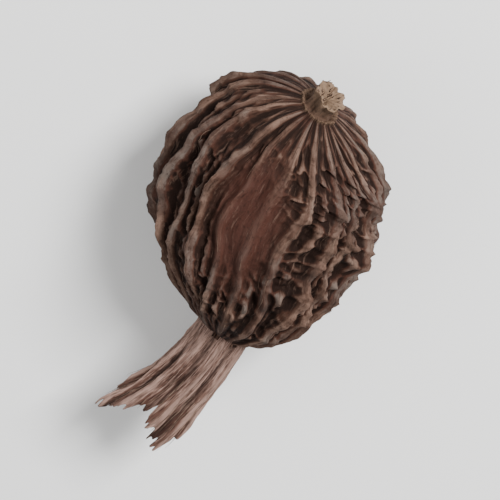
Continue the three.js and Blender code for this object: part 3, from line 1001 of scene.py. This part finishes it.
def stalk_finish():
    """Grey-brown bark with dark grooves, and pale wood fibres on the broken end."""
    finish = Finish("broken_stalk", 0.85, 0.18)
    place = finish.place()
    fibres = finish.stretched("fibre", (1.0, 1.0, 0.15))
    streaks = finish.noise(fibres, 9.0, detail=4.0, rough=0.65)
    grain = finish.noise(place, 5600.0, detail=4.0, rough=0.7)
    colour = finish.tint(STALK_BARK, STALK_DARK, finish.ramp(streaks, 0.48, 0.34, 0.0, 0.85))
    colour = finish.tint(colour, STALK_DARK, finish.ramp(finish.number("edge"), 0.2, 0.1, 0.0, 0.6))
    colour = finish.tint(colour, STALK_WOOD, finish.times(finish.number("broken"), 0.85))
    colour = finish.tint(colour, STALK_DARK, finish.ramp(grain, 0.56, 0.72, 0.0, 0.6))
    finish.join(colour, finish.shader.inputs["Base Color"])
    finish.relief([(streaks, 0.05), (grain, 0.03)])
    return finish.material


def fibre_finish():
    """Loose fibres, pale with browner stretches."""
    finish = Finish("loose_fibre", 0.75, 0.3)
    tone = finish.noise(finish.place(), 900.0, detail=3.0)
    colour = finish.tint(FIBRE_PALE, FIBRE_BROWN, finish.ramp(tone, 0.42, 0.6))
    finish.join(colour, finish.shader.inputs["Base Color"])
    return finish.material


def floor_finish():
    """Plain pale matte surface."""
    finish = Finish("pale_floor", 0.9, 0.2)
    finish.shader.inputs["Base Color"].default_value = (*linear(FLOOR_GREY), 1.0)
    return finish.material


# The stage

LOOK_AT = (4.3, -0.5, 6.5)
CAMERA_LENS = 200.0
CAMERA_DISTANCE = 200.0
CAMERA_TILT = 18.0  # degrees from straight above towards the stalk
CAMERA_ROLL = 105.0  # turns the calyx to the lower left of the picture
SENSOR = 36.0
FLOOR_HALF = 1.5  # metres
SURROUND = 0.5  # strength of the even light from all round
# Soft lights: direction from the pod, distance, size and watts
LIGHTS = {
    "key_light": ((-0.7, 0.55, 0.9), 300, 110, 1.9),
    "fill_light": ((0.5, -0.9, 0.8), 340, 260, 0.4),
}


def make_camera():
    """Looks down on the pod, a little from the stalk's side, and from far enough away that it is
    drawn almost parallel."""
    data = bpy.data.cameras.new("camera")
    data.lens = CAMERA_LENS
    data.sensor_width = SENSOR
    data.clip_start = 0.01
    camera = bpy.data.objects.new("camera", data)
    tilt, roll = math.radians(CAMERA_TILT), math.radians(CAMERA_ROLL)
    back = Vector((-math.sin(tilt), 0, math.cos(tilt)))
    right = Vector((-math.sin(roll), math.cos(roll), 0)).cross(back).normalized()
    turned = Matrix((right, back.cross(right), back)).transposed()
    camera.location = (Vector(LOOK_AT) + CAMERA_DISTANCE * back) * MM
    camera.rotation_euler = turned.to_euler()
    bpy.context.scene.collection.objects.link(camera)
    bpy.context.scene.camera = camera


def make_light(name, direction, distance, size, power):
    """A square soft light that faces the pod from a direction, distances in millimetres."""
    data = bpy.data.lights.new(name, "AREA")
    data.size = size * MM
    data.energy = power
    light = bpy.data.objects.new(name, data)
    way = Vector(direction).normalized()
    light.location = Vector(LOOK_AT) * MM + way * distance * MM
    light.rotation_euler = way.to_track_quat("Z", "Y").to_euler()
    bpy.context.scene.collection.objects.link(light)


def make_stage():
    """Plain floor under the pod, an even grey surround and two soft lights."""
    square = [(-1, -1), (1, -1), (1, 1), (-1, 1)]
    corners = [(x * FLOOR_HALF, y * FLOOR_HALF, 0) for x, y in square]
    mesh = bpy.data.meshes.new("floor")
    mesh.from_pydata(corners, [], [(0, 1, 2, 3)])
    floor = bpy.data.objects.new("floor", mesh)
    bpy.context.scene.collection.objects.link(floor)
    mesh.materials.append(floor_finish())
    world = bpy.data.worlds.new("surround")
    world.use_nodes = True
    background = world.node_tree.nodes["Background"]
    background.inputs["Color"].default_value = (1, 1, 1, 1)
    background.inputs["Strength"].default_value = SURROUND
    bpy.context.scene.world = world
    for name, light in LIGHTS.items():
        make_light(name, *light)


def dress(piece, material, node=None):
    """Gives a piece its finish and its body, and hides the solid that it stands for."""
    piece.data.materials.append(material)
    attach(piece, "root")
    if node:
        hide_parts(node)


make_camera()
make_stage()
fibre_material = fibre_finish()
dress(make_husk(), husk_finish(), "husk")
dress(make_calyx(), calyx_finish(), "calyx")
dress(make_stalk(), stalk_finish(), "stalk")
dress(make_husk_fibres(), fibre_material)
dress(make_calyx_fibres(), fibre_material)
dress(make_stalk_fibres(), fibre_material)
